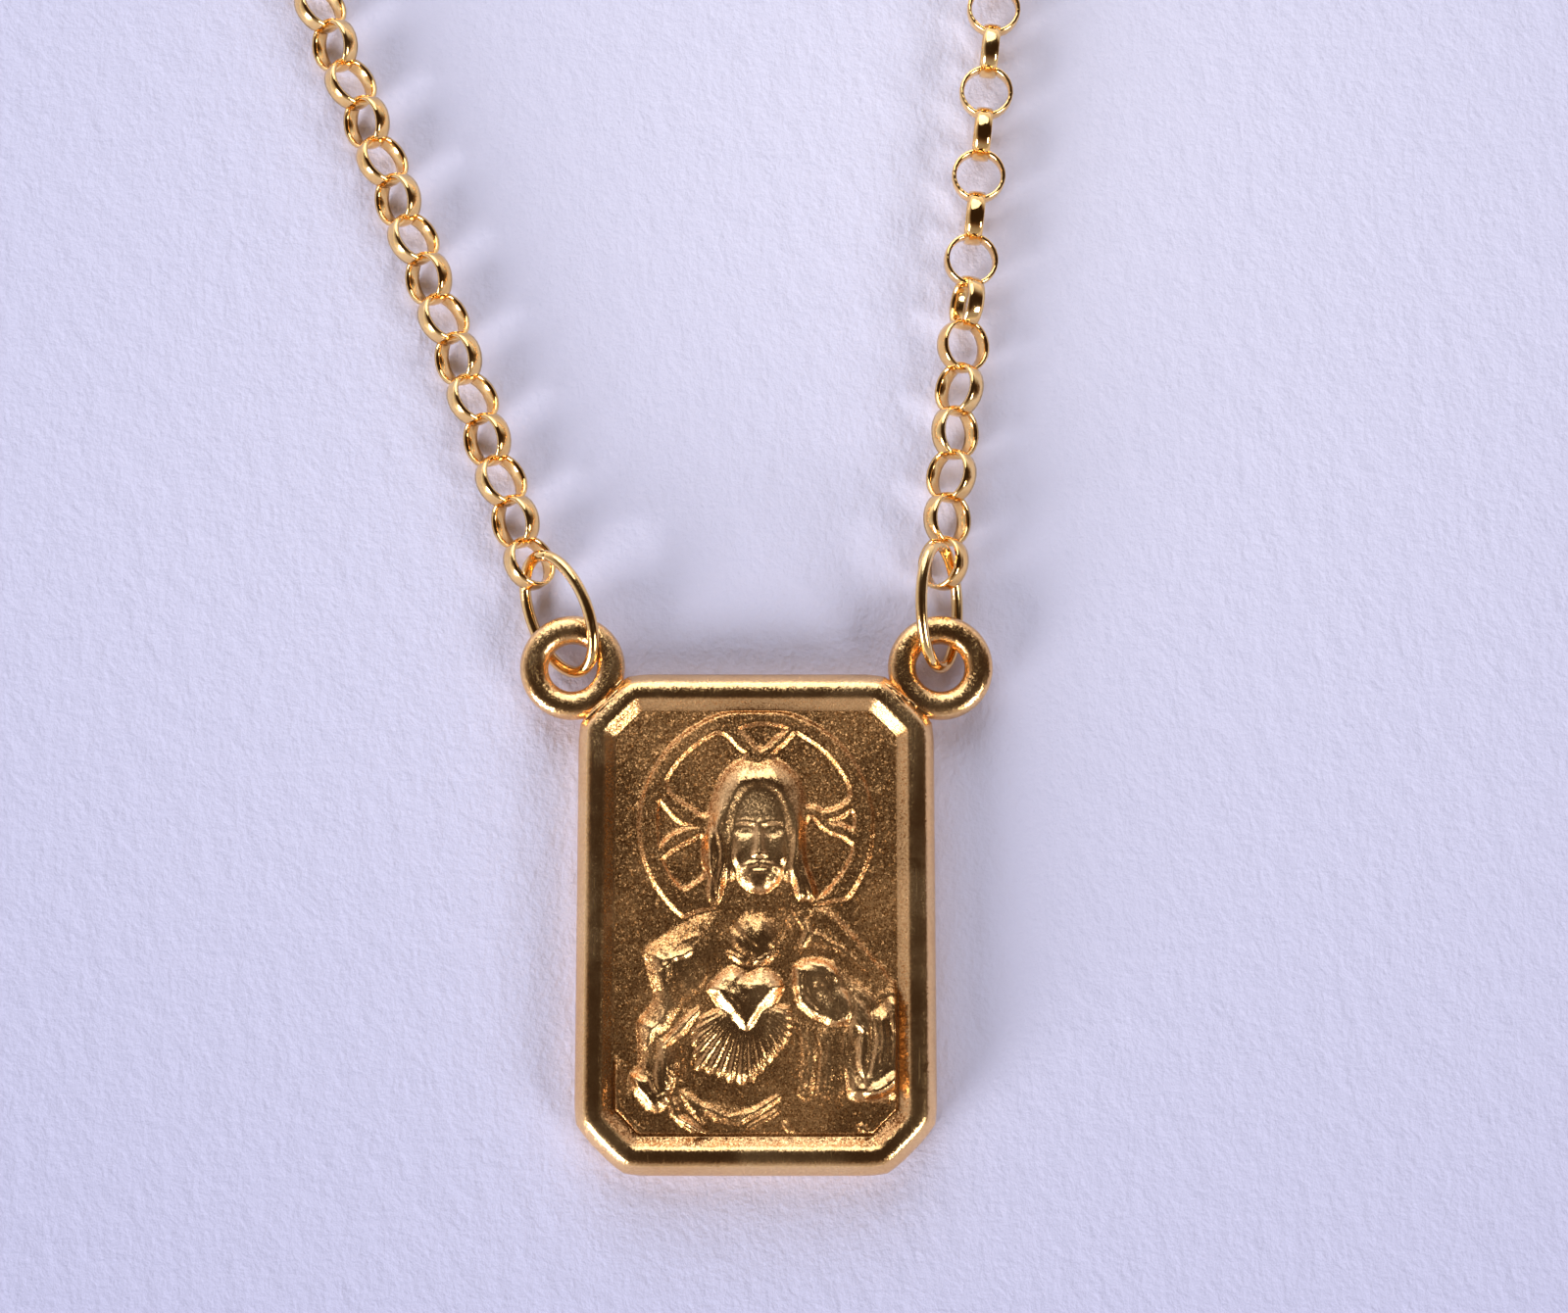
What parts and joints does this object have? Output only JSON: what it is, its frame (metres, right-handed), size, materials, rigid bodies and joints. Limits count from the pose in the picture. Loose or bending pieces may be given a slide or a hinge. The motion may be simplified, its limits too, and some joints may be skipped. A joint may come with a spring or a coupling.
{
  "type": "medal necklace",
  "caption": "Cut-corner rectangular medal with a raised half-length figure, hung from two corner lugs on a rolo chain that closes in a loop.",
  "frame": {"origin": "centre of the medal's flat back, on the surface that the necklace lies on", "axes": "+Z out of the medal's face, +Y from the medal up the figure towards the clasp, +X to the viewer's right of the face"},
  "size_m": [0.0862, 0.2095, 0.0043],
  "materials": {
    "medal_gold": "gilded, polished rim and relief on a fine sandblasted field",
    "ring_gold": "gilded drawn wire, polished",
    "chain_gold": "gilded, high polish",
    "clasp_gold": "gilded, polished"
  },
  "bodies": {
    "root": {"medal": "medal_gold", "jump_ring_left": "ring_gold", "jump_ring_right": "ring_gold", "chain_left": "chain_gold", "chain_right": "chain_gold", "clasp": "clasp_gold", "end_ring": "clasp_gold"}
  },
  "joints": []
}
